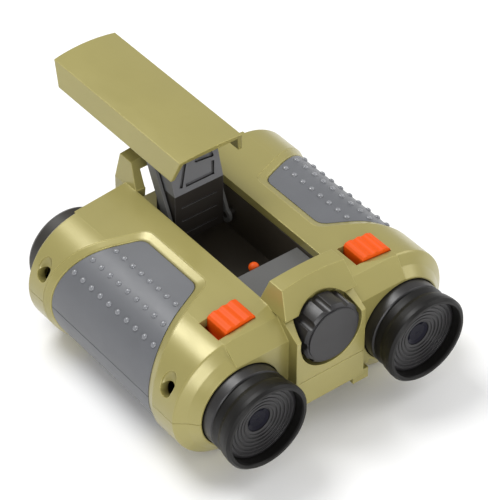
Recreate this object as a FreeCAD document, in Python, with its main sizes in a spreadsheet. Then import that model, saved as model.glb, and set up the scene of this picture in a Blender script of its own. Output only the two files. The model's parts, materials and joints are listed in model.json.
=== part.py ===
"""Toy 4x30 field glasses with a pop-up lamp, as a parametric document.

Frame: millimetres, +Z up, +Y from the eyepieces towards the objectives, X across.
Sizes are drawn from the middle of the casing; the parts are exported about the middle of the whole
object, lid included, on its resting plane. Rest pose: lid and lamp popped up.
"""
import FreeCAD, Part
import math
import os
import Sketcher
from FreeCAD import Placement, Rotation, Vector

DOC = FreeCAD.newDocument("FieldGlasses")

# ---------------------------------------------------------------- driving dimensions
DIMENSIONS = {
    "frame_y": 12.7,       # middle of the whole object, ahead of the middle of the casing
    "axis_x": 34.0,        # half the distance between the two optical axes
    "axis_z": 24.5,        # optical axis above the resting plane
    "barrel_r": 23.3,      # outside radius of a barrel
    "wall": 3.4,           # casing wall
    "body_rear": -47.5,    # flat rear face around the eyepieces
    "body_front": 43.0,    # front face around the objectives
    "rim_z": 49.9,         # top of the casing beside the channel
    "rim_x": 14.5,         # half width of the channel
    "raised_z": 58.5,      # top of bridge, nose and closed lid
    "channel_rear": -32.5,
    "channel_front": 36.5,
    "channel_floor": 28.6,
    "nose_front": 49.0,
    "crown_r": 90.0,       # radius of the slight crown of lid, bridge and nose
    "web_z": 12.0,         # underside of the casing between the barrels
    "skid_in": 25.0,       # flat skids under the barrels, which it rests on
    "skid_out": 33.0,
    "grip_x": 26.0,        # inner edge of a grip
    "grip_rear": -13.3,
    "grip_front": 16.5,
    "grip_flare": 0.435,   # slope of a grip's front and rear edges, seen from above
    "grip_border": 3.2,    # bevelled border round a grip
    "grip_depth": 1.1,     # grip surface below the casing surface
    "grip_thick": 1.2,
    "slot_in": 21.2,       # switch slot, inner end
    "slot_out": 36.5,
    "slot_rear": -38.7,
    "slot_front": -28.2,
    "switch_len": 12.2,
    "knob_z": 40.4,
    "knob_r": 11.7,
    "knob_face": -53.3,
    "knob_long": 9.4,
    "screw_r": 1.8,
    "ring_r": 16.2,        # objective ring
    "ring_front": 53.3,
    "lens_r": 15.0,
    "tube_r": 15.7,        # eyepiece tube
    "cup_r": 16.6,
    "cup_face": -62.0,
    "strap_r": 2.7,
    "scoop_deep": 2.0,
    "scoop_high": 4.6,
    "scoop_long": 3.1,
    "strap_tilt": 30.0,
    "lid_near": 12.7,      # popped-up lid, top face
    "lid_far": 87.64,
    "lid_top": 76.3,
    "lid_deep": 8.6,
    "lid_wall": 1.5,
    "pivot_y": 26.0,       # main pivot of the lamp arm
    "pivot_z": 36.5,
    "tip_y": 41.1,         # lid pivot at the arm's tip
    "tip_z": 69.4,
    "link_dy": -6.0,        # follower link, offset from the arm
    "link_dz": 1.0,
    "pin_r": 1.2,
    "running": 0.08,       # radial clearance of a running fit
    "arm_x": 10.3,
    "snout_x": 8.0,        # half width of the arm where it meets the lid
    "link_x": 10.7,
    "link_thick": 1.2,
    "arm_rear": 20.2,
    "arm_front": 31.0,
    "lamp_z": 51.0,
    "lamp_r": 8.0,
    "tab_in": 11.4,        # tabs under the rear of the knob's cradle
    "tab_out": 17.9,
    "cell_r": 5.8,         # LR44 button cell
    "low_grip_x": 37.0,    # where a lower grip ends, beside the flat underside
}


class Dim:
    """A number that remembers the sheet expression it came from."""

    def __init__(self, value, text):
        self.value = value
        self.text = text

    def __add__(self, other):
        return joined(self, "+", other)

    def __radd__(self, other):
        return joined(other, "+", self)

    def __sub__(self, other):
        return joined(self, "-", other)

    def __rsub__(self, other):
        return joined(other, "-", self)

    def __mul__(self, other):
        return joined(self, "*", other)

    def __rmul__(self, other):
        return joined(other, "*", self)

    def __neg__(self):
        return joined(0, "-", self)


def dim(value):
    return value if isinstance(value, Dim) else Dim(float(value), f"({float(value)})")


def joined(a, sign, b):
    a, b = dim(a), dim(b)
    value = {"+": a.value + b.value, "-": a.value - b.value, "*": a.value * b.value}[sign]
    return Dim(value, f"({a.text} {sign} {b.text})")


def make_sheet():
    sheet = DOC.addObject("Spreadsheet::Sheet", "spec")
    for row, (alias, value) in enumerate(DIMENSIONS.items(), start=1):
        sheet.set(f"A{row}", alias)
        sheet.set(f"B{row}", str(value))
        sheet.setAlias(f"B{row}", alias)
    DOC.recompute()
    return {alias: Dim(value, f"spec.{alias}") for alias, value in DIMENSIONS.items()}


D = make_sheet()
SIDES = (("left", -1), ("right", 1))
KEPT = []      # (label, object) of every sub-part


# ---------------------------------------------------------------- building blocks
def bind(obj, prop, value):
    value = dim(value)
    setattr(obj, prop, value.value)
    obj.setExpression(prop, value.text)


def place(obj, x=0, y=0, z=0, rotation=None):
    obj.Placement = Placement(Vector(*(dim(v).value for v in (x, y, z))), rotation or Rotation())
    for letter, v in zip("xyz", (x, y, z)):
        obj.setExpression(f".Placement.Base.{letter}", dim(v).text)
    return obj


def profile(body, role, points):
    """A closed polygon sketch on an origin plane, every corner bound to the sheet."""
    sketch = body.newObject("Sketcher::SketchObject", body.Name + "_sketch")
    plane = [o for o in body.Origin.OriginFeatures if o.Role == role][0]
    sketch.AttachmentSupport = (plane, [""])
    sketch.MapMode = "FlatFace"
    corners = [(dim(a), dim(b)) for a, b in points]
    count = len(corners)
    for i, (a, b) in enumerate(corners):
        c, d = corners[(i + 1) % count]
        sketch.addGeometry(Part.LineSegment(Vector(a.value, b.value, 0), Vector(c.value, d.value, 0)))
    for i in range(count):
        sketch.addConstraint(Sketcher.Constraint("Coincident", i, 2, (i + 1) % count, 1))
    for i, corner in enumerate(corners):
        for kind, value in zip(("DistanceX", "DistanceY"), corner):
            n = sketch.addConstraint(Sketcher.Constraint(kind, -1, 1, i, 1, value.value))
            sketch.setExpression(f"Constraints[{n}]", value.text)
    return sketch


def turned(name, points):
    """A solid of revolution about the Y axis; points are (radius, y)."""
    body = DOC.addObject("PartDesign::Body", name)
    sketch = profile(body, "XY_Plane", points)
    turn = body.newObject("PartDesign::Revolution", name + "_turn")
    turn.Profile = sketch
    turn.ReferenceAxis = (sketch, ["V_Axis"])
    turn.Angle = 360
    body.Tip = turn
    return body


def padded(name, role, points, length):
    """A polygon on an origin plane, padded the same distance to both sides."""
    body = DOC.addObject("PartDesign::Body", name)
    pad = body.newObject("PartDesign::Pad", name + "_pad")
    pad.Profile = profile(body, role, points)
    pad.Midplane = True
    bind(pad, "Length", length)
    body.Tip = pad
    return body


def box(name, x0, x1, y0, y1, z0, z1):
    obj = DOC.addObject("Part::Box", name)
    for prop, low, high in (("Length", x0, x1), ("Width", y0, y1), ("Height", z0, z1)):
        bind(obj, prop, dim(high) - dim(low))
    return place(obj, x0, y0, z0)


TURN_TO = {"x": Rotation(Vector(0, 1, 0), 90), "y": Rotation(Vector(1, 0, 0), -90), "z": Rotation()}


def rod(name, radius, length, x, y, z, along="y"):
    """A cylinder that starts at (x, y, z) and runs in the positive direction of an axis."""
    obj = DOC.addObject("Part::Cylinder", name)
    bind(obj, "Radius", radius)
    bind(obj, "Height", length)
    return place(obj, x, y, z, TURN_TO[along])


def raised(name, base, top):
    """A block with sloping sides: base and top are (half width, y0, y1, z)."""
    obj = DOC.addObject("Part::Wedge", name)
    (bx, by0, by1, bz), (tx, ty0, ty1, tz) = base, top
    for prop, value in (
        ("Xmin", -dim(bx)), ("Xmax", bx), ("Zmin", -dim(by1)), ("Zmax", -dim(by0)), ("Ymin", bz),
        ("X2min", -dim(tx)), ("X2max", tx), ("Z2min", -dim(ty1)), ("Z2max", -dim(ty0)), ("Ymax", tz),
    ):
        bind(obj, prop, value)
    obj.Placement = Placement(Vector(), Rotation(Vector(1, 0, 0), 90))
    return obj


def fuse(name, *shapes):
    obj = DOC.addObject("Part::MultiFuse", name)
    obj.Shapes = list(shapes)
    obj.Refine = True
    return obj


def cut(name, base, *tools):
    obj = DOC.addObject("Part::Cut", name)
    obj.Base = base
    obj.Tool = tools[0] if len(tools) == 1 else fuse(name + "_tools", *tools)
    obj.Refine = True
    return obj


def common(name, *shapes):
    obj = DOC.addObject("Part::MultiCommon", name)
    obj.Shapes = list(shapes)
    return obj


def keep(label, obj):
    obj.Label = label
    KEPT.append((label, obj))
    return obj


def mirrored(obj, name):
    """A mirror image across the plane X = 0."""
    twin = DOC.addObject("Part::Mirroring", name)
    twin.Source = obj
    twin.Normal = (1, 0, 0)
    return twin


# ---------------------------------------------------------------- casing
def crown(name, top):
    """A long round bar whose top line gives lid, bridge and nose their slight crown."""
    return rod(name, D["crown_r"], 200, 0, -80, dim(top) + 0.7 - D["crown_r"])


def barrel(name, shrink, rear, front, side, nick=0):
    """One barrel's outer form, or its cavity when shrunk."""
    r = D["barrel_r"] - shrink
    points = [
        (0, rear), (r - 6.6, rear), (r - 5.4, rear + 1.4), (r - 3.7, rear + 3.3),
        (r - 0.4, rear + 5.9), (r, rear + 6.4),
        (r, front - 1), (r - 1, front), (0, front),
    ]
    if nick:
        points = [(0, rear), (r, rear), (r, front), (0, front)]
    return place(turned(name, points), side * D["axis_x"], 0, D["axis_z"])


def section(name, shrink, y0, y1):
    """The casing between the barrels, as a prism along Y."""
    s = shrink
    half = D["axis_x"]
    points = [
        (-half - 2.4, D["rim_z"] - 2.2 - s), (-D["rim_x"], D["rim_z"] - s), (D["rim_x"], D["rim_z"] - s),
        (half + 2.4, D["rim_z"] - 2.2 - s), (half, D["axis_z"]), (half - 14, D["web_z"] + s),
        (14 - half, D["web_z"] + s), (-half, D["axis_z"]),
    ]
    body = padded(name, "XZ_Plane", points, dim(y1) - dim(y0))
    return place(body, 0, (dim(y0) + dim(y1)) * 0.5, 0)


def across(side, inner, outer):
    """The lower and upper x of a span given by its distances from the middle."""
    return (-outer, -inner) if side < 0 else (inner, outer)


def side_profile(name, y0, y1, drop):
    """A wide block whose rear shoulder falls gently and then steeply; it trims the prism."""
    top = D["rim_z"] - drop
    points = [
        (y0 + 22, top + 10), (y0 + 11.5, top + 0.2), (y0 + 6, top - 1.9), (y0, top - 8.4), (y0, 0),
        (y1, 0), (y1, 60),
    ]
    return padded(name, "YZ_Plane", points, 140)


def outer_form():
    web = common(
        "web",
        section("web_prism", 0, D["body_rear"], D["body_front"]),
        side_profile("web_side", D["body_rear"], D["body_front"], 0),
    )
    shapes = [web] + [barrel(f"barrel_{n}", 0, D["body_rear"], D["body_front"], s) for n, s in SIDES]
    centre = padded(
        "centre_block", "YZ_Plane",
        [(-41.0, D["rim_z"]), (-52, 42.9), (-52, 13.5), (-41, 13.5)], 2 * D["rim_x"],
    )
    bridge = common(
        "bridge",
        raised("bridge_wedge", (15, -46.5, D["channel_rear"], 49), (12.7, -41.2, -35.7, D["raised_z"] + 1)),
        crown("bridge_crown", D["raised_z"]),
    )
    nose = common(
        "nose",
        raised(
            "nose_wedge",
            (15, D["channel_front"], D["nose_front"], 49),
            (12.7, 42.5, 48.4, D["raised_z"] + 1),
        ),
        crown("nose_crown", D["raised_z"]),
    )
    chin = box("nose_chin", -15, 15, 42, D["nose_front"], 14, 49.2)
    tabs = [
        box(f"tab_{n}", *across(s, D["tab_in"], D["tab_out"]), -50.6, -46.0, 9.2, 13.6)
        for n, s in SIDES
    ]
    skids = [
        box(f"skid_{n}", *across(s, D["skid_in"], D["skid_out"]), -38, 36, 0, 5)
        for n, s in SIDES
    ]
    return fuse("outer_form", *shapes, centre, bridge, nose, chin, *tabs, *skids)


CORNER = [(0, -2.4), (0.35, -1.0), (1.1, 0.1), (2.6, 1.13)]      # a grip's rounded front corner


def grip_plan(name, grow, low, high, inner=None):
    """A grip's outline seen from above, as a prism between two heights on the right-hand side."""
    inner = dim(D["grip_x"] if inner is None else inner) - grow
    reach = 62.0
    start = inner - D["grip_x"]
    spread = (reach - D["grip_x"]) * D["grip_flare"]
    shift = start * D["grip_flare"]
    front = D["grip_front"] + grow + shift
    rear = D["grip_rear"] - grow - shift
    corner = [(inner + dx, front + dy) for dx, dy in CORNER]
    low_corner = [(inner + dx, rear - dy) for dx, dy in reversed(CORNER)]
    far = [(reach, D["grip_front"] + spread + grow), (reach, D["grip_rear"] - spread - grow)]
    body = padded(name, "XY_Plane", corner + far + low_corner, dim(high) - dim(low))
    return place(body, 0, 0, (dim(low) + dim(high)) * 0.5)


def grip_space(name, grow, side):
    """Where one side's grips may be: the full plan above the split, a narrower one below it."""
    upper = grip_plan(f"{name}_upper", grow, D["axis_z"], 60)
    lower = grip_plan(f"{name}_lower", grow, -5, D["axis_z"], D["low_grip_x"])
    both = fuse(f"{name}_both", upper, lower)
    return mirrored(both, f"{name}_twin") if side < 0 else both


def skin(name, side, outer, inner):
    """The layer of one barrel between two depths below the casing surface."""
    x = side * D["axis_x"]
    solids = []
    for tag, shrink in (("out", outer), ("in", inner)):
        tube = barrel(f"{name}_{tag}_tube", shrink, -60, 60, side, nick=1)
        prism = section(f"{name}_{tag}_prism", shrink, -60, 60)
        solids.append(fuse(f"{name}_{tag}", tube, prism))
    return cut(name, *solids)


def cavity():
    """The hollow inside the casing."""
    w = D["wall"]
    rear, front = D["body_rear"] + 3.2, D["body_front"] - 3.0
    prism = common(
        "hollow_web",
        section("hollow_prism", w, rear, front),
        side_profile("hollow_side", rear, front, 1.2),
    )
    tubes = [barrel(f"hollow_{n}", w, rear, front, s) for n, s in SIDES]
    open_space = fuse("hollow_open", prism, *tubes)
    bulkhead = box("bulkhead", -D["rim_x"], D["rim_x"], -50, -40.7, 24, 60)
    return cut("hollow", open_space, bulkhead)


def strap_eyelet(tag, side, y):
    """A hole through the shoulder of a barrel, with a scooped oval mouth."""
    tilt = Rotation(Vector(0, 1, 0), side * (90 - DIMENSIONS["strap_tilt"]))
    centre = Vector(side * DIMENSIONS["axis_x"], y, DIMENSIONS["axis_z"])
    hole = DOC.addObject("Part::Cylinder", f"strap_hole_{tag}")
    bind(hole, "Radius", D["strap_r"])
    hole.Height = 12
    lower = Rotation(Vector(0, 1, 0), side * (96 - DIMENSIONS["strap_tilt"]))
    hole.Placement = Placement(centre + lower.multVec(Vector(0, 0, 17)), lower)
    scoop = DOC.addObject("Part::Ellipsoid", f"strap_scoop_{tag}")
    bind(scoop, "Radius1", D["scoop_deep"])
    bind(scoop, "Radius2", D["scoop_high"])
    bind(scoop, "Radius3", D["scoop_long"])
    scoop.Placement = Placement(centre + tilt.multVec(Vector(0, 0, DIMENSIONS["barrel_r"])), tilt)
    return hole, scoop


def casing():
    """Upper and lower casing, split on the optical axes."""
    pocket = rod("knob_pocket", D["knob_r"] + 1.2, 10.6, 0, -54, D["knob_z"])
    throat = rod("screw_hole", D["screw_r"] + D["running"], 8, 0, -44, D["knob_z"])
    tools = [cavity(), pocket, throat]
    tools.append(box("channel_cut", -D["rim_x"], D["rim_x"], D["channel_rear"], D["channel_front"], 24.6, 60))
    tools.append(raised(
        "lamp_window",
        (12.4, D["channel_front"] - 5, D["nose_front"] + 5, 34),
        (10.4, D["channel_front"] - 5, D["nose_front"] + 5, D["raised_z"] - 3),
    ))
    for n, s in SIDES:
        axis = s * D["axis_x"]
        tools.append(rod(f"eyepiece_hole_{n}", D["tube_r"] + 0.4, 12, axis, D["body_rear"] - 2, D["axis_z"]))
        seat = D["body_front"] - 6
        tools.append(rod(f"objective_hole_{n}", D["ring_r"] + 0.1, 12, axis, seat, D["axis_z"]))
        x0, x1 = (-D["slot_out"], -D["slot_in"]) if s < 0 else (D["slot_in"], D["slot_out"])
        tools.append(box(f"switch_slot_{n}", x0, x1, D["slot_rear"], D["slot_front"], 38, 60))
        for tag, y in (("rear", -35.0), ("front", 36.0)):
            tools += strap_eyelet(f"{tag}_{n}", s, y)
    shell = cut("shell", outer_form(), *tools)
    recesses = []
    for n, s in SIDES:
        plan = grip_space(f"recess_plan_{n}", D["grip_border"], s)
        recesses.append(common(f"recess_{n}", skin(f"recess_skin_{n}", s, -6, D["grip_depth"]), plan))
        plan = grip_space(f"seat_plan_{n}", 0.1, s)
        deep = D["grip_depth"] + D["grip_thick"]
        recesses.append(common(f"seat_{n}", skin(f"seat_skin_{n}", s, -6, deep), plan))
    shell = cut("shell_recessed", shell, *recesses)
    half_gap = 0.1
    upper = common("upper_half", shell, box("upper_space", -70, 70, -70, 70, D["axis_z"] + half_gap, 90))
    lower = common("lower_half", shell, box("lower_space", -70, 70, -70, 70, -10, D["axis_z"] - half_gap))
    split = D["axis_z"]
    posts = {"upper": [], "lower": []}
    bores = {"upper": [], "lower": []}
    for i, (x, y) in enumerate(BOSS_AT):
        posts["upper"].append(rod(f"upper_boss_{i}", 3.2, D["rim_z"] - 2.9 - split, x, y, split + 0.1, "z"))
        posts["lower"].append(rod(f"lower_boss_{i}", 3.2, split - 9.6, x, y, 9.5, "z"))
        bores["upper"].append(rod(f"upper_bore_{i}", 1.25, 10, x, y, split - 1, "z"))
        bores["lower"].append(rod(f"lower_bore_{i}", 1.25, 30, x, y, -2, "z"))
        bores["lower"].append(rod(f"screw_sink_{i}", 2.7, 12, x, y, -2, "z"))
    keep("upper_casing", cut("upper_done", fuse("upper_bossed", upper, *posts["upper"]), *bores["upper"]))
    door_hole = box("door_hole", -9.5, 9.5, -27, 13, D["web_z"] - 1, D["web_z"] + 5)
    lower = fuse("lower_bossed", lower, *posts["lower"])
    keep("lower_casing", cut("lower_done", lower, door_hole, *bores["lower"]))


BOSS_AT = [(s * 19.0, y) for s in (-1, 1) for y in (-22.0, 29.4)]


def grips():
    for n, s in SIDES:
        outer = D["grip_depth"]
        layer = skin(f"grip_skin_{n}", s, outer, outer + D["grip_thick"] - 0.05)
        plan = grip_space(f"grip_plan_{n}", -0.1, s)
        pad = common(f"grip_{n}", layer, plan)
        inner, outer_x = (-70, 0) if s < 0 else (0, 70)
        top = box(f"grip_top_space_{n}", inner, outer_x, -60, 60, D["axis_z"] + 0.15, 60)
        low = box(f"grip_low_space_{n}", inner, outer_x, -60, 60, -10, D["axis_z"] - 0.15)
        keep(f"upper_grip_{n}", common(f"upper_grip_{n}_part", pad, top))
        keep(f"lower_grip_{n}", common(f"lower_grip_{n}_part", pad, low))


def casing_screws():
    screws = []
    for i, (x, y) in enumerate(BOSS_AT):
        head = rod(f"screw_head_{i}", 2.5, 1.4, x, y, 8.6, "z")
        shank = rod(f"screw_shank_{i}", 1.2, 20, x, y, 9.9, "z")
        screws.append(cut(
            f"screw_{i}", fuse(f"screw_blank_{i}", head, shank),
            box(f"screw_cross_{i}", x - 1.7, x + 1.7, y - 0.35, y + 0.35, 8.5, 9.3),
            box(f"screw_bar_{i}", x - 0.35, x + 0.35, y - 1.7, y + 1.7, 8.5, 9.3),
        ))
    keep("casing_screws", fuse("casing_screws_part", *screws))


# ---------------------------------------------------------------- optics
def objectives():
    for n, s in SIDES:
        r = D["ring_r"]
        front = D["ring_front"]
        ring = turned(f"objective_ring_{n}_part", [
            (r - 1.1, 33), (r + 1.6, 33), (r + 1.6, D["body_front"] - 3.2), (r, D["body_front"] - 3.2),
            (r, front - 1.2), (r - 0.7, front), (r - 2.4, front), (r - 2.9, 47.5), (r - 1.1, 47.5),
        ])
        keep(f"objective_ring_{n}", place(ring, s * D["axis_x"], 0, D["axis_z"]))
        lens = turned(f"objective_lens_{n}_part", [
            (0, 43.6), (D["lens_r"], 44.6), (D["lens_r"], 46.4), (12, 46.9), (8, 47.2), (4, 47.4), (0, 47.45),
        ])
        keep(f"objective_lens_{n}", place(lens, s * D["axis_x"], 0, D["axis_z"]))
        stop = turned(f"lens_retainer_{n}_part", [
            (13.4, 41.5), (D["lens_r"], 41.5), (D["lens_r"], 44.3), (13.4, 44.1),
        ])
        keep(f"lens_retainer_{n}", place(stop, s * D["axis_x"], 0, D["axis_z"]))


def eyepieces():
    r = D["tube_r"]
    face = D["cup_face"]
    for n, s in SIDES:
        rings = []
        for i in range(6):
            a = 5.6 + 1.45 * i
            crest = -57.6 - 0.16 * i
            dip = crest + 0.25
            rings += [(a, crest), (a + 0.75, crest), (a + 0.75, dip), (a + 1.45, dip)]
        tube = turned(f"eyepiece_tube_{n}_part", [
            (4.6, -55.2), (4.6, -57.0), (5.6, -57.2)] + rings + [
            (14.3, -58.0), (14.3, -57.2), (r - 1.1, -56.4), (r - 1.1, -52.6), (r, -51.6), (r, -33),
            (r - 1.6, -33), (r - 1.6, -54.2), (6.5, -54.2), (6.5, -55.2),
        ])
        keep(f"eyepiece_tube_{n}", place(tube, s * D["axis_x"], 0, D["axis_z"]))
        cup = turned(f"eyecup_{n}_part", [
            (r - 1.0, -52.8), (r + 0.1, -52.8), (r - 0.1, -54.2), (r - 0.2, -55.4), (r + 0.5, -57.0),
            (D["cup_r"] - 0.2, -58.2), (D["cup_r"], -59.6), (D["cup_r"], face + 0.9),
            (D["cup_r"] - 0.8, face), (D["cup_r"] - 1.8, face), (14.5, face + 0.7), (14.5, -57.3),
            (r - 1.0, -56.4),
        ])
        keep(f"eyecup_{n}", place(cup, s * D["axis_x"], 0, D["axis_z"]))
        lens = turned(f"eye_lens_{n}_part", [
            (0, -56.2), (3.2, -56.3), (4.5, -56.7), (4.5, -55.1), (6.4, -55.1), (6.4, -54.3), (0, -54.6),
        ])
        keep(f"eye_lens_{n}", place(lens, s * D["axis_x"], 0, D["axis_z"]))
    arms = []
    for n, s in SIDES:
        arms.append(box(f"yoke_arm_{n}", *across(s, dim(0), dim(25)), -37.9, -35.4, 33.0, 41.3))
    holes = [rod(f"yoke_seat_{n}", r, 9, s * D["axis_x"], -42, D["axis_z"]) for n, s in SIDES]
    hub = rod("yoke_hub", 3.6, 2.5, 0, -37.9, D["knob_z"])
    bore = rod("yoke_bore", D["screw_r"] + D["running"], 9, 0, -43, D["knob_z"])
    yoke = cut("yoke_part", fuse("yoke_blank", hub, *arms), *holes, bore)
    keep("focus_yoke", yoke)


def focus_knob():
    y0 = D["knob_face"]
    r = D["knob_r"]
    blank = turned("knob_blank", [
        (0, y0), (r - 1.5, y0), (r - 1.5, y0 + 0.5), (r - 0.9, y0 + 0.5), (r, y0 + 1.4), (r, y0 + 8.6),
        (r - 0.8, y0 + 9.4), (0, y0 + 9.4),
    ])
    count = 9
    reach = 12.6
    flutes = []
    for i in range(count):
        angle = 2 * math.pi * (i + 0.5) / count
        flutes.append(rod(f"knob_flute_{i}", 1.9, 30, reach * math.cos(angle), -60, reach * math.sin(angle)))
    fluted = cut("knob_fluted", blank, *flutes)
    cap = turned("knob_cap", [
        (0, y0 - 0.01), (r - 1.8, y0 - 0.01), (r - 1.5, y0 + 0.5), (r - 1.5, y0 + 1.6), (0, y0 + 1.6),
    ])
    knob = fuse("knob_part", fluted, cap)
    keep("focus_knob", place(knob, 0, 0, D["knob_z"]))
    keep("focus_screw", rod("focus_screw_part", D["screw_r"], 10.2, 0, y0 + D["knob_long"], D["knob_z"]))


# ---------------------------------------------------------------- switches
def switch(name, x0):
    """A slide switch: a ridged block in its slot on a wider plate under the casing."""
    length = DIMENSIONS["switch_len"]
    humps = 3
    top = []
    steps = 6 * humps
    for i in range(steps + 1):
        x = x0 + length * (0.06 + 0.88 * i / steps)
        wave = 0.5 * (0.5 - 0.5 * math.cos(2 * math.pi * humps * i / steps))
        surface = DIMENSIONS["rim_z"] - 0.1 * (abs(x) - DIMENSIONS["rim_x"])
        top.append((x, surface + 1.3 + wave))
    base = DIMENSIONS["rim_z"] - 0.1 * (30 - DIMENSIONS["rim_x"]) - 5.4
    x1 = x0 + length
    points = [(x0, base), (x0, top[0][1] - 0.8)] + top + [(x1, top[-1][1] - 0.8), (x1, base)]
    width = D["slot_front"] - D["slot_rear"] - 0.6
    block = padded(f"{name}_block", "XZ_Plane", points, width)
    middle = (D["slot_front"] + D["slot_rear"]) * 0.5
    place(block, 0, middle, 0)
    y0, y1 = D["slot_rear"] + 0.4, D["slot_front"] + 1.6
    plate = box(f"{name}_plate", x0 - 2.0, x1 + 2.0, y0, y1, base - 1.0, base + 0.2)
    return block, plate


def switches():
    block, plate = switch("release", -33.4)
    rod_z = 42.2
    bar = rod("latch_bar", 1.2, 24, -25, -30.4, rod_z, "x")
    along = rod("latch_finger", 1.2, 17.0, -2.2, -30.4, rod_z)
    tip = DOC.addObject("Part::Sphere", "latch_tip")
    tip.Radius = 1.9
    place(tip, -2.2, -13.2, rod_z + 0.8)
    stem = box("latch_stem", -27.5, -23.5, -32.2, -28.6, rod_z - 1.2, 42.6)
    keep("release_slider", fuse("release_part", block, plate, bar, along, tip, stem))
    block, plate = switch("lamp", 24.0)
    keep("lamp_slider", fuse("lamp_part", block, plate))
    contact = box("contact_block", 23.0, 32.0, -25.5, -21, 38, 44.7)
    keep("switch_contacts", contact)


# ---------------------------------------------------------------- channel
def channel():
    x = D["rim_x"]
    y0, y1 = D["channel_rear"], D["channel_front"]
    outer = box("liner_outer", -x - 1.2, x + 1.2, y0, y1 + 3.3, D["channel_floor"] - 1.4, 46.2)
    inner = box("liner_inner", -x, x, y0 + 1.2, y1 + 9, D["channel_floor"], 60)
    slot = box("liner_slot", -16, 3, y0 - 1, y0 + 6, 40.4, 44.2)
    notch = box("liner_gate", -20, 0, y0 - 1, -28.2, 40.4, 44.2)
    floor = D["channel_floor"]
    front_low = box("liner_lip", -x, x, y1 + 1.9, y1 + 3.3, floor - 1.4, floor + 4)
    link_y, link_z = D["pivot_y"] + D["link_dy"], D["pivot_z"] + D["link_dz"]
    pins = [
        rod("liner_pivot_a", D["pin_r"], 40, -20, D["pivot_y"], D["pivot_z"], "x"),
        rod("liner_pivot_b", D["pin_r"], 40, -20, link_y, link_z, "x"),
    ]
    tray = fuse("liner_blank", cut("liner_tray", outer, inner), front_low)
    keep("channel_liner", cut("liner_part", tray, slot, notch, *pins))
    cover = box("cover_plate", -x + 0.15, x - 0.15, y0 + 1.4, -15.6, 43.7, 44.9)
    nick = box("cover_nick", -x - 1, -x + 1.6, -24.5, -20.5, 43, 48)
    keep("mechanism_cover", cut("cover_part", cover, nick))


# ---------------------------------------------------------------- lamp arm, links and lid
def lamp_arm():
    y, z = D["pivot_y"], D["pivot_z"]
    ty, tz = D["tip_y"], D["tip_z"]
    rear, front = D["arm_rear"], D["arm_front"]
    points = [
        (rear, 55.4), (rear + 2.8, 64.9), (rear + 5.1, 72.8), (rear + 5.9, 73.4), (front + 2.0, 73.4),
        (front + 2.6, 72.6), (front + 2.6, 64.6), (front, 62.0), (front, z - 1.5), (y + 3.4, z - 4.0),
        (y + 0.6, z - 5.0), (y - 3.2, z - 4.6), (rear, z - 2.0),
    ]
    nose_points = [
        (front + 1, 73.2), (ty + 1.0, 73.2), (ty + 2.9, tz + 2.2), (ty + 3.5, tz), (ty + 2.6, tz - 2.4),
        (ty, tz - 3.5), (front + 2, 64.4), (front - 3, 63.0),
    ]
    blank = padded("arm_blank", "YZ_Plane", points, 2 * D["arm_x"])
    snout = padded("arm_snout", "YZ_Plane", nose_points, 2 * D["snout_x"])
    tools = [
        rod("arm_pivot_hole", D["pin_r"] + D["running"], 40, -20, y, z, "x"),
        rod("arm_tip_hole", D["pin_r"], 40, -20, ty, tz, "x"),
        rod("lamp_bore", D["lamp_r"] - 0.9, 9, 0, front - 7.5, D["lamp_z"]),
    ]
    for i in range(4):
        line_z = 49.3 - 5.9 * i
        tools.append(box(f"arm_line_{i}", -7.4, 7.4, rear - 1, rear + 0.4, line_z, line_z + 0.5))
    tools += arm_grooves()
    keep("lamp_arm", cut("arm_part", fuse("arm_solid", blank, snout), *tools))
    lamp(front)


def arm_grooves():
    """Grooves that frame a trapezium and a triangle on the leaning face, as (x, z) end points."""
    strokes = [
        ((-6.9, 58.2), (-1.4, 70.6)), ((-4.4, 57.9), (6.4, 57.9)), ((6.4, 57.9), (7.2, 61.4)),
        ((1.0, 64.6), (7.4, 64.0)), ((7.4, 64.0), (5.2, 70.4)), ((5.2, 70.4), (1.0, 64.6)),
    ]
    slope = 5.1 / 17.4
    lean = math.degrees(math.atan(slope))
    width = 1.3
    grooves = []
    for i, ((xa, za), (xb, zb)) in enumerate(strokes):
        run = math.hypot(xb - xa, (zb - za) / math.cos(math.radians(lean)))
        bar = DOC.addObject("Part::Box", f"arm_groove_{i}")
        bar.Length, bar.Width, bar.Height = run + width, 4.0, width
        face = Rotation(Vector(1, 0, 0), -lean)
        roll = math.degrees(math.atan2((zb - za) / math.cos(math.radians(lean)), xb - xa))
        turn = face.multiply(Rotation(Vector(0, -1, 0), roll))
        depth = DIMENSIONS["arm_rear"] + ((za + zb) / 2 - 55.4) * slope
        middle = Vector((xa + xb) / 2, depth, (za + zb) / 2)
        corner = Vector(-(run + width) / 2, -3.2, -width / 2)
        bar.Placement = Placement(middle + turn.multVec(corner), turn)
        grooves.append(bar)
    return grooves


def lamp(front):
    r = D["lamp_r"]
    pieces = {
        "lamp_bezel": [
            (r - 1.4, front), (r, front), (r, front + 1.4), (r - 0.5, front + 1.9), (r - 1.8, front + 1.9),
            (r - 1.8, front + 1.2), (r - 1.4, front + 1.2),
        ],
        "lamp_reflector": [
            (1.2, front - 6.4), (2.6, front - 6.4), (5.2, front - 4.0), (r - 1.3, front - 0.2),
            (r - 1.9, front - 0.2), (4.8, front - 3.6), (2.4, front - 5.6), (1.2, front - 5.6),
        ],
        "lamp_led": [
            (0, front - 7.2), (1.1, front - 7.2), (1.1, front - 4.2), (0.9, front - 3.6), (0.5, front - 3.2),
            (0, front - 3.0),
        ],
        "lamp_glass": [(0, front + 0.2), (r - 1.5, front + 0.2), (r - 1.5, front + 1.1), (0, front + 1.1)],
    }
    for name, points in pieces.items():
        keep(name, place(turned(f"{name}_part", points), 0, 0, D["lamp_z"]))


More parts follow.
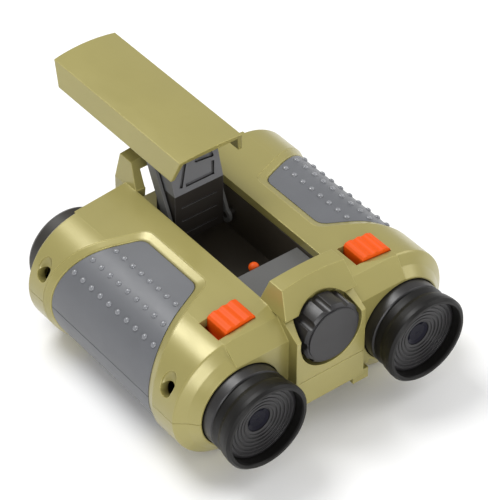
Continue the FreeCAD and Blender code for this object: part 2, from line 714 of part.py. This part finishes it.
def pins():
    reach = D["rim_x"] + 1.15
    y, z = D["pivot_y"], D["pivot_z"]
    keep("arm_pivot_pin", rod("arm_pin_part", D["pin_r"], 2 * reach, -reach, y, z, "x"))
    link_y, link_z = y + D["link_dy"], z + D["link_dz"]
    stubs = [
        rod("link_stub_left", D["pin_r"], reach - D["link_x"], -reach, link_y, link_z, "x"),
        rod("link_stub_right", D["pin_r"], reach - D["link_x"], D["link_x"], link_y, link_z, "x"),
    ]
    keep("link_pivot_studs", fuse("link_studs_part", *stubs))
    half = D["snout_x"] + 2.0
    keep("lid_pivot_pin", rod("lid_pin_part", D["pin_r"], 2 * half, -half, D["tip_y"], D["tip_z"], "x"))


def links():
    low_y, low_z = D["pivot_y"] + D["link_dy"], D["pivot_z"] + D["link_dz"]
    high_y, high_z = D["tip_y"] + D["link_dy"], D["tip_z"] + D["link_dz"]
    run = math.hypot(high_y.value - low_y.value, high_z.value - low_z.value)
    angle = math.degrees(math.atan2(high_z.value - low_z.value, high_y.value - low_y.value))
    thick, wide = DIMENSIONS["link_thick"], 4.2
    for n, s in SIDES:
        x0 = s * DIMENSIONS["link_x"] - (thick if s < 0 else 0)
        ends = [
            rod(f"link_end_{n}_low", 2.9, thick, x0, low_y, low_z, "x"),
            rod(f"link_end_{n}_high", 2.5, thick, x0, high_y, high_z, "x"),
        ]
        bar = DOC.addObject("Part::Box", f"link_bar_{n}")
        bar.Length, bar.Width, bar.Height = thick, run, wide
        turn = Rotation(Vector(1, 0, 0), angle)
        start = Vector(x0, low_y.value, low_z.value)
        bar.Placement = Placement(start + turn.multVec(Vector(0, 0, -wide / 2)), turn)
        holes = [
            rod(f"link_hole_{n}_low", D["pin_r"] + D["running"], 9, x0 - 4, low_y, low_z, "x"),
            rod(f"link_hole_{n}_high", D["pin_r"] + 0.35, 9, x0 - 4, high_y, high_z, "x"),
        ]
        keep(f"follower_link_{n}", cut(f"link_{n}_part", fuse(f"link_{n}_blank", bar, *ends), *holes))


def lid():
    near, far, top, deep = D["lid_near"], D["lid_far"], D["lid_top"], D["lid_deep"]
    t = D["lid_wall"]
    outer = common(
        "lid_outer",
        raised("lid_wedge", (15, near + 3.0, far - 5.7, top - deep), (12.7, near, far, top + 1)),
        crown("lid_crown", top),
    )
    hollow = raised(
        "lid_hollow",
        (15 - t, near - 4, far - 5.7 - t, top - deep - 0.01),
        (12.9 - t, near - 4, far - t, top - t),
    )
    ty, tz = D["tip_y"], D["tip_z"]
    ear_points = [
        (ty - 4.6, top - t + 0.2), (ty - 2.8, tz + 0.8), (ty - 2.2, tz - 1.9), (ty, tz - 2.9),
        (ty + 2.2, tz - 1.9), (ty + 2.8, tz + 0.8), (ty + 4.6, top - t + 0.2),
    ]
    ear_x = D["snout_x"] + 0.3 + 0.7
    extras = []
    for n, s in SIDES:
        extras.append(place(padded(f"lid_ear_{n}", "YZ_Plane", ear_points, 1.4), s * ear_x, 0, 0))
        x0, x1 = sorted((s * 8.0, s * 9.6))
        hook_y = far - 11 - 3 * s
        extras.append(box(f"lid_hook_{n}", x0, x1, hook_y, hook_y + 2.4, top - deep - 2.2, top - t + 0.1))
        x0 = DIMENSIONS["link_x"] + 0.05 if s > 0 else -13.4
        stud_y, stud_z = ty + D["link_dy"], tz + D["link_dz"]
        extras.append(rod(f"lid_stud_{n}", D["pin_r"], 13.35 - D["link_x"], x0, stud_y, stud_z, "x"))
    tip_hole = rod("lid_tip_hole", D["pin_r"] + D["running"], 24, -12, ty, tz, "x")
    keep("lid", cut("lid_part", fuse("lid_whole", cut("lid_shell", outer, hollow), *extras), tip_hole))


# ---------------------------------------------------------------- battery bay
def battery_bay():
    floor = D["web_z"]
    wells_at = [(-19.0 + 12.0 * i) for i in range(3)]
    keep("battery_door", box("door_part", -9.3, 9.3, -26.8, 12.8, floor + 0.1, floor + 3.0))
    cells = [rod(f"cell_{i}", D["cell_r"], 5.4, 0, y, floor + 4.2, "z") for i, y in enumerate(wells_at)]
    keep("button_cells", fuse("cells_part", *cells))
    tray = box("tray_outer", -8.2, 8.2, -26, 12, floor + 3.1, floor + 10.4)
    wells = [
        rod(f"cell_well_{i}", D["cell_r"] + 0.1, 12, 0, y, floor + 2, "z")
        for i, y in enumerate(wells_at)
    ]
    keep("battery_tray", cut("tray_part", tray, *wells))
    keep("battery_contact", box("strip_part", -3, 3, -24, 10, floor + 10.45, floor + 10.75))


def build():
    casing()
    grips()
    casing_screws()
    objectives()
    eyepieces()
    focus_knob()
    switches()
    channel()
    lamp_arm()
    pins()
    links()
    lid()
    battery_bay()


def export():
    DOC.recompute()
    bad = [o.Name for o in DOC.Objects if "Invalid" in o.State or "Error" in o.State]
    if bad:
        raise SystemExit(f"failed objects: {bad}")
    os.makedirs("parts", exist_ok=True)
    for label, obj in KEPT:
        shape = obj.Shape
        if shape.isNull() or not shape.isValid() or shape.Volume <= 0:
            raise SystemExit(f"{label} has no valid shape")
        shape = shape.translated(Vector(0, -DIMENSIONS["frame_y"], 0))
        shape.exportStep(f"parts/{label}.step")
        print(f"{label:26s} solids {len(shape.Solids)} volume {shape.Volume:9.1f}")


build()
export()
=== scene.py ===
"""Looks for the toy binoculars: moulded plastic, rubber grips with studs, lenses, studio and camera.

Metres, in the shared frame: X across, Y from eyepieces to objectives, Z up.
"""
import json
import math

import bmesh
import bpy
from mathutils import Matrix, Vector


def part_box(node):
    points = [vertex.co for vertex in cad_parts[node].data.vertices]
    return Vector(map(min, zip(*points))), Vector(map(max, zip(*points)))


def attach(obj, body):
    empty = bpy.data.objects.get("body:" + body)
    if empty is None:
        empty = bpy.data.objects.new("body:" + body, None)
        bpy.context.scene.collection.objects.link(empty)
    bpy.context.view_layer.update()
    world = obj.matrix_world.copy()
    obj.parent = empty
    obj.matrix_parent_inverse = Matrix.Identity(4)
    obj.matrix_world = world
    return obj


MM = 0.001

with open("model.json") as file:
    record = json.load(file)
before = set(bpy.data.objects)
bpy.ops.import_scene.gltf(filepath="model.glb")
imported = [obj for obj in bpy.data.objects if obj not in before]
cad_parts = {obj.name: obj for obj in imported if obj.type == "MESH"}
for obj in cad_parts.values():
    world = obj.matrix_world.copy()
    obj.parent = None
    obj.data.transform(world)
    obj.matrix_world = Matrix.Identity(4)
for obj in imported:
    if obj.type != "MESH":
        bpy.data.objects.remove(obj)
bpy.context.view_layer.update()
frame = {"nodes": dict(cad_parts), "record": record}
NODES = frame["nodes"]

RING_LOW, RING_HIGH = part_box("objective_ring_right")
AXIS = (RING_LOW + RING_HIGH) * 0.5        # a point on the right optical axis
GRIP_LOW, GRIP_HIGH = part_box("upper_grip_right")
CASE_LOW, CASE_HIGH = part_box("upper_casing")
DOOR_LOW, DOOR_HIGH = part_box("battery_door")


# ---------------------------------------------------------------- materials
class Shader:
    """A Principled material and short ways to add nodes to it."""

    def __init__(self, name):
        self.material = bpy.data.materials.new(name)
        self.material.use_nodes = True
        self.tree = self.material.node_tree
        self.bsdf = self.tree.nodes["Principled BSDF"]

    def set(self, **values):
        for key, value in values.items():
            self.bsdf.inputs[key.replace("_", " ")].default_value = value

    def node(self, kind, **values):
        made = self.tree.nodes.new("ShaderNode" + kind)
        for key, value in values.items():
            made.inputs[key.replace("_", " ")].default_value = value
        return made

    def link(self, source, target):
        self.tree.links.new(source, target)

    def noise(self, scale, detail=3.0, stretch=(1, 1, 1)):
        """Noise in object space, so that its grain has a real size."""
        place = self.node("TexCoord")
        mapping = self.node("Mapping", Scale=stretch)
        noise = self.node("TexNoise", Scale=scale, Detail=detail)
        self.link(place.outputs["Object"], mapping.inputs["Vector"])
        self.link(mapping.outputs["Vector"], noise.inputs["Vector"])
        return noise.outputs["Fac"]

    def spread(self, source, low, high, start=0.3, end=0.7):
        """The source stretched over a range of numbers."""
        ramp = self.node("MapRange")
        for key, value in (("From Min", start), ("From Max", end), ("To Min", low), ("To Max", high)):
            ramp.inputs[key].default_value = value
        self.link(source, ramp.inputs["Value"])
        return ramp.outputs["Result"]

    def mix(self, mask, one, other):
        """A colour between two, by mask."""
        mixer = self.tree.nodes.new("ShaderNodeMix")
        mixer.data_type = "RGBA"
        self.link(mask, mixer.inputs["Factor"])
        for socket, value in ((mixer.inputs["A"], one), (mixer.inputs["B"], other)):
            if isinstance(value, tuple):
                socket.default_value = value
            else:
                self.link(value, socket)
        return mixer.outputs["Result"]


def rgb(r, g, b):
    return (r, g, b, 1.0)


def shade(colour, factor):
    return rgb(*(min(1.0, c * factor) for c in colour[:3]))


GRAIN = 4200.0                       # scale of the finest noise, which is about 0.2 mm across
EDGE_HIGHLIGHT_GAIN = 1.6                     # how much paler the painted highlight along an edge is than the plastic
GROOVE_REACH = 1.6 * MM              # how near a wall has to be for painted shade to darken a groove


def moulded(
    name, colour, rough, bump=0.03, edge_mm=0.35, edge_highlight=0.35, coat=0.0, cloud=0.06, upper=None,
    groove_shade=0.0, glint=0.5, sheen=0.0
):
    """Moulded plastic or rubber: fine grain, faint clouding, softened edges with a painted highlight along
    them.

    upper is a second colour and the height in metres above which it takes over; cavity darkens grooves with
    painted shade where ambient occlusion finds walls near; wear paints a paler band along the softened
    edges as a painted highlight; glint is the strength of the highlights; sheen is the share of metal flake
    in the plastic.
    """
    s = Shader(name)
    s.set(Coat_Weight=coat, Coat_Roughness=0.2, Specular_IOR_Level=glint, Metallic=sheen)
    fine = s.noise(GRAIN, 2.0)
    broad = s.noise(60.0, 4.0)
    scuff = s.noise(240.0, 5.0, (1.0, 0.35, 1.0))

    bevel = s.node("Bevel", Radius=edge_mm * MM)
    bevel.samples = 6
    flat = s.node("NewGeometry")
    align = s.tree.nodes.new("ShaderNodeVectorMath")
    align.operation = "DOT_PRODUCT"
    s.link(bevel.outputs["Normal"], align.inputs[0])
    s.link(flat.outputs["Normal"], align.inputs[1])
    # Painted highlight: the colour turns paler where the bevel's normal leaves the flat one, standing in
    # for light caught along each edge.
    edge = s.spread(align.outputs["Value"], edge_highlight, 0.0, 0.85, 0.99)

    darker = shade(colour, 1.0 - cloud)
    lighter = shade(colour, 1.0 + cloud)
    clouded = s.mix(s.spread(broad, 0.0, 1.0), darker, lighter)
    highlight_base = colour
    if upper:
        highlight_base = upper[0]
        split = s.tree.nodes.new("ShaderNodeSeparateXYZ")
        s.link(s.node("TexCoord").outputs["Object"], split.inputs["Vector"])
        above = s.spread(split.outputs["Z"], 0.0, 1.0, upper[1], upper[1] + 0.1 * MM)
        clouded = s.mix(above, clouded, upper[0])
    colour_with_painted_light = s.mix(edge, clouded, shade(highlight_base, EDGE_HIGHLIGHT_GAIN))
    # Painted shade: grooves and recesses, where ambient occlusion finds walls near, get a darker colour.
    if groove_shade:
        open_sky = s.node("AmbientOcclusion", Distance=GROOVE_REACH)
        open_sky.samples = 8
        openness = s.spread(open_sky.outputs["AO"], 0.0, 1.0, 0.45, 0.8)
        colour_with_painted_light = s.mix(openness, shade(colour, 1.0 - groove_shade), colour_with_painted_light)
    s.link(colour_with_painted_light, s.bsdf.inputs["Base Color"])
    s.link(s.spread(scuff, rough - 0.03, rough + 0.04), s.bsdf.inputs["Roughness"])

    relief = s.node("Bump", Strength=bump * 10, Distance=0.02 * MM)
    s.link(fine, relief.inputs["Height"])
    s.link(bevel.outputs["Normal"], relief.inputs["Normal"])
    s.link(relief.outputs["Normal"], s.bsdf.inputs["Normal"])
    return s.material


def metal(name, colour, rough):
    """Plain metal with fine brushing and faint tarnish."""
    s = Shader(name)
    s.set(Metallic=1.0)
    tarnish = s.noise(300.0, 4.0)
    s.link(s.mix(s.spread(tarnish, 0.0, 1.0), shade(colour, 0.8), colour), s.bsdf.inputs["Base Color"])
    brushed = s.noise(900.0, 2.0, (0.05, 1.0, 1.0))
    s.link(s.spread(brushed, rough, rough + 0.15), s.bsdf.inputs["Roughness"])
    return s.material


def coated_glass(name, glint=0.5):
    """A lens over a black tube: dark and glossy, with a faint coating tint."""
    s = Shader(name)
    s.set(IOR=1.38, Specular_IOR_Level=glint, Specular_Tint=rgb(0.78, 0.74, 1.0))
    smear = s.noise(90.0, 3.0)
    tint = s.mix(s.spread(smear, 0, 1), rgb(0.004, 0.004, 0.007), rgb(0.009, 0.009, 0.015))
    s.link(tint, s.bsdf.inputs["Base Color"])
    s.link(s.spread(smear, 0.03, 0.09), s.bsdf.inputs["Roughness"])
    return s.material


def clear_glass(name):
    """The lamp's clear window."""
    s = Shader(name)
    s.set(Base_Color=rgb(0.96, 0.98, 1.0), Roughness=0.05, IOR=1.3, Transmission_Weight=1.0)
    return s.material


KHAKI = rgb(0.312, 0.273, 0.088)
ARM_FACE_Z = 55.3 * MM               # the arm is black below this height and grey above it
MATERIALS = {
    "khaki_gold_plastic": moulded(
        "khaki_gold", KHAKI, 0.31, edge_mm=0.5, edge_highlight=0.8, coat=0.2, cloud=0.02, sheen=0.18
    ),
    "grey_grip_rubber": moulded(
        "grip_grey", rgb(0.120, 0.124, 0.134), 0.42, bump=0.04, edge_highlight=0.2, cloud=0.05
    ),
    "charcoal_plastic": moulded("charcoal", rgb(0.016, 0.015, 0.016), 0.36, edge_highlight=0.5, groove_shade=0.6),
    "black_plastic": moulded("black", rgb(0.020, 0.017, 0.013), 0.45, edge_mm=0.25, edge_highlight=0.5),
    "eyecup_rubber": moulded("eyecup", rgb(0.006, 0.0055, 0.005), 0.42, edge_highlight=0.4, glint=0.25),
    "orange_plastic": moulded(
        "orange", rgb(0.72, 0.082, 0.0), 0.5, edge_highlight=0.2, cloud=0.05, groove_shade=0.35, glint=0.25
    ),
    "grey_plastic": moulded("grey", rgb(0.10, 0.10, 0.098), 0.45, edge_mm=0.25),
    "clear_lens": coated_glass("lens"),
    "chromed_plastic": metal("chromed", rgb(0.8, 0.8, 0.82), 0.08),
    "led_epoxy": moulded("led", rgb(0.85, 0.85, 0.75), 0.12, bump=0.0),
    "steel": metal("steel", rgb(0.55, 0.55, 0.54), 0.3),
    "cell_steel": metal("cell", rgb(0.62, 0.62, 0.6), 0.22),
    "brass_contact": metal("brass", rgb(0.75, 0.52, 0.22), 0.28),
}
# Nodes that look different from the rest of their slot.
SPECIAL = {
    "eye_lens_left": coated_glass("eye_lens_dark", 0.15),
    "lamp_glass": clear_glass("lamp_clear"),
    "channel_liner": moulded("channel", rgb(0.045, 0.037, 0.026), 0.45, edge_mm=0.25, edge_highlight=0.5),
    "lamp_arm": moulded(
        "arm", rgb(0.020, 0.017, 0.014), 0.45, edge_mm=0.25, edge_highlight=0.6,
        upper=(rgb(0.13, 0.132, 0.14), ARM_FACE_Z), groove_shade=0.5
    ),
}
SPECIAL["eye_lens_right"] = SPECIAL["eye_lens_left"]


def dress_cad():
    """Gives every CAD node the material of its slot in the record."""
    for part in frame["record"]["subparts"]:
        materials = NODES[part["node"]].data.materials
        material = SPECIAL.get(part["node"], MATERIALS[part["material_slot"]])
        if len(materials):
            for i in range(len(materials)):
                materials[i] = material
        else:
            materials.append(material)


# ---------------------------------------------------------------- added pieces
def mesh_object(name, bm, material, body):
    """A smooth piece from a finished bmesh, riding on a body."""
    mesh = bpy.data.meshes.new(name)
    bm.to_mesh(mesh)
    bm.free()
    mesh.materials.append(material)
    for polygon in mesh.polygons:
        polygon.use_smooth = True
    piece = bpy.data.objects.new(name, mesh)
    bpy.context.scene.collection.objects.link(piece)
    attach(piece, body)
    return piece


# The casing's section, and the grips' outline seen from above, for the right-hand side in millimetres.
AXIS_X = AXIS.x / MM
AXIS_Z = AXIS.z / MM
BARREL_R = CASE_HIGH.x / MM - AXIS_X
RIM_X = 14.5
RIM_Z = AXIS_Z + 25.4
TOP_SLOPE = 2.2 / 21.9               # fall of the casing's top from the channel's rim outwards
GRIP_INNER = 26.0
LOW_INNER = 37.0
FLAT_END = 2.4                       # how far past the optical axis the sloping top reaches
FLARE = 0.435                        # how fast a grip widens towards the side
GRIP_DEPTH = 1.1
BORDER_OUTER = 3.18                  # a border's width, just inside its recess in the casing
BORDER_SINK = 0.03                   # how far a border's outer edge lies under the casing's surface
GRIP_GAP = 0.12                      # between a border's foot and the grip
GRIP_MID = (GRIP_LOW.y + GRIP_HIGH.y) * 0.5 / MM
HALF_LENGTH = 14.9                   # half a grip's length along its inner edge
CORNER = ((0.0, -2.4), (0.35, -1.0), (1.1, 0.1), (2.6, 1.13))     # the rounded inner corner
TOP_ANGLE = 84.0                     # degrees round the barrel where an upper grip's curved side ends
ARC_STEPS = 20                       # steps round the barrel, from the side to the top
FLAT_STEPS = 5                       # steps from the top of the barrel to the corner


def height(x, depth, half):
    """The casing's surface at x, a depth below the outside, above or below the optical axis."""
    r = BARREL_R - depth
    bow = math.sqrt(max(0.0, r * r - (x - AXIS_X) ** 2))
    flat = RIM_Z - depth - (x - RIM_X) * TOP_SLOPE - AXIS_Z
    if half < 0:
        return AXIS_Z - bow
    if x < AXIS_X + FLAT_END:
        return AXIS_Z + max(bow, flat)
    return AXIS_Z + bow


def grip_edge(grow, depth, half):
    """(x, y, z) along one half's outline from the front split to the rear one, y from the grip's middle."""
    upper = half > 0
    inner = (GRIP_INNER if upper else LOW_INNER) - grow
    r = BARREL_R - depth
    front = HALF_LENGTH + grow + (inner - GRIP_INNER) * FLARE
    corner = [(inner + dx, front + dy) for dx, dy in CORNER]
    corner_x = corner[-1][0]
    top = math.radians(TOP_ANGLE)
    if not upper:
        top = math.acos(max(-1.0, (corner_x + 0.4 - AXIS_X) / r))
    side = [AXIS_X + r * math.cos(top * i / ARC_STEPS) for i in range(ARC_STEPS + 1)]
    if upper:
        side += [side[-1] + (corner_x - side[-1]) * i / FLAT_STEPS for i in range(1, FLAT_STEPS)]
    run = [(x, HALF_LENGTH + (x - GRIP_INNER) * FLARE + grow) for x in side] + corner[::-1]
    whole = run + [(x, -y) for x, y in reversed(run)]
    return [(x, y, height(x, depth, half)) for x, y in whole]


def grip_borders():
    """The sloping band that leads from the casing's surface down to each grip."""
    for side, sign in (("left", -1), ("right", 1)):
        rings = []
        for half in (1, -1):
            lines = [
                grip_edge(BORDER_OUTER, BORDER_SINK, half),
                grip_edge(BORDER_OUTER, GRIP_DEPTH, half),
                grip_edge(GRIP_GAP, GRIP_DEPTH, half),
            ]
            ring = list(zip(*lines))
            rings += ring if half > 0 else ring[::-1]
        bm = bmesh.new()
        loops = [
            [bm.verts.new((sign * x * MM, (y + GRIP_MID) * MM, z * MM)) for x, y, z in triple]
            for triple in rings
        ]
        for here, after in zip(loops, loops[1:] + loops[:1]):
            for a, b in ((0, 1), (1, 2), (2, 0)):
                bm.faces.new((here[a], here[b], after[b], after[a]))
        bmesh.ops.recalc_face_normals(bm, faces=bm.faces)
        khaki = MATERIALS["khaki_gold_plastic"]
        piece = mesh_object(f"grip_border_{side}", bm, khaki, "casing")
        piece.data.set_sharp_from_angle(angle=math.radians(30))


STUD_ROWS = (84, 64, 45)             # degrees round the barrel, from the side to the top
STUD_R = 1.1
STUD_HIGH = 0.8
STUD_PITCH = 4.8
STUD_MARGIN = 2.6


def grip_studs():
    """Rows of small domes on the upper grips."""
    # The studs are the grips' rubber, coloured paler than the grips as a painted highlight for their
    # glints.
    material = moulded("stud", rgb(0.19, 0.195, 0.21), 0.2, bump=0.01, coat=0.6)
    r = BARREL_R - GRIP_DEPTH
    for side, sign in (("left", -1), ("right", 1)):
        bm = bmesh.new()
        for angle in STUD_ROWS:
            out = Vector((sign * math.cos(math.radians(angle)), 0, math.sin(math.radians(angle))))
            x = AXIS_X + r * abs(out.x)
            reach = HALF_LENGTH + (x - GRIP_INNER) * FLARE - STUD_MARGIN
            count = round(2 * reach / STUD_PITCH) + 1
            turn = out.to_track_quat("Z", "Y").to_matrix().to_4x4()
            size = Matrix.Diagonal((STUD_R * MM, STUD_R * MM, STUD_HIGH * MM, 1))
            for i in range(count):
                y = GRIP_MID - reach + 2 * reach * i / (count - 1)
                spot = Vector((sign * x, y, AXIS_Z + r * out.z)) * MM
                place = Matrix.Translation(spot) @ turn @ size
                bmesh.ops.create_uvsphere(bm, u_segments=16, v_segments=10, radius=1, matrix=place)
        mesh_object(f"grip_studs_{side}", bm, material, "casing")


RIDGES = 5
RIDGE_START = 3.0                    # from the door's front end to the first ridge
RIDGE_PITCH = 1.6
RIDGE_LONG = 0.7
RIDGE_HIGH = 0.8                     # half of it stands below the door


def door_ridges():
    """Finger ridges at the end of the battery door."""
    bm = bmesh.new()
    width = (DOOR_HIGH.x - DOOR_LOW.x) * 0.6
    size = Matrix.Diagonal((width, RIDGE_LONG * MM, RIDGE_HIGH * MM, 1))
    for i in range(RIDGES):
        y = DOOR_HIGH.y - (RIDGE_START + RIDGE_PITCH * i) * MM
        bmesh.ops.create_cube(bm, size=1, matrix=Matrix.Translation((0, y, DOOR_LOW.z)) @ size)
    bmesh.ops.bevel(bm, geom=bm.edges[:], offset=0.15 * MM, segments=2, affect="EDGES")
    khaki = MATERIALS["khaki_gold_plastic"]
    mesh_object("battery_door_ridges", bm, khaki, "casing")


# ---------------------------------------------------------------- studio
def area_light(name, place, size, power, target=(0, 0, 0.03)):
    """A round soft light at a place, aimed at the object."""
    data = bpy.data.lights.new(name, "AREA")
    data.shape = "DISK"
    data.size = size
    data.energy = power
    light = bpy.data.objects.new(name, data)
    light.location = place
    light.rotation_euler = (Vector(target) - Vector(place)).to_track_quat("-Z", "Y").to_euler()
    bpy.context.scene.collection.objects.link(light)


def floor():
    """The pale floor, wider than any view of it."""
    s = Shader("floor")
    s.set(Base_Color=rgb(0.95, 0.95, 0.95), Roughness=0.6)
    bm = bmesh.new()
    bmesh.ops.create_grid(bm, x_segments=1, y_segments=1, size=6)
    mesh = bpy.data.meshes.new("floor")
    bm.to_mesh(mesh)
    bm.free()
    mesh.materials.append(s.material)
    plane = bpy.data.objects.new("floor", mesh)
    bpy.context.scene.collection.objects.link(plane)


def studio():
    """An even white surround and three soft lights."""
    world = bpy.data.worlds.new("studio")
    world.use_nodes = True
    background = world.node_tree.nodes["Background"]
    background.inputs["Color"].default_value = rgb(1, 1, 1)
    background.inputs["Strength"].default_value = 0.56
    bpy.context.scene.world = world
    area_light("key", (-0.15, 0.35, 0.8), 0.45, 5.0)
    area_light("side", (0.6, -0.25, 0.5), 0.6, 2.0)
    area_light("fill", (-0.3, -0.9, 0.25), 0.5, 4.0)
    bpy.context.scene.view_settings.view_transform = "Standard"


CAMERA_PLACE = Vector((-0.3983, -0.5344, 0.6071))
CAMERA_LOOK = Vector((0.4621, 0.5996, -0.6534))     # the way it faces


def camera():
    """A long lens, behind and above the eyepieces, to the left."""
    data = bpy.data.cameras.new("camera")
    data.lens = 183.4
    data.sensor_width = 36.0
    data.clip_start = 0.01
    view = bpy.data.objects.new("camera", data)
    view.location = CAMERA_PLACE
    view.rotation_euler = CAMERA_LOOK.to_track_quat("-Z", "Y").to_euler()
    bpy.context.scene.collection.objects.link(view)
    bpy.context.scene.camera = view


dress_cad()
grip_borders()
grip_studs()
door_ridges()
floor()
studio()
camera()
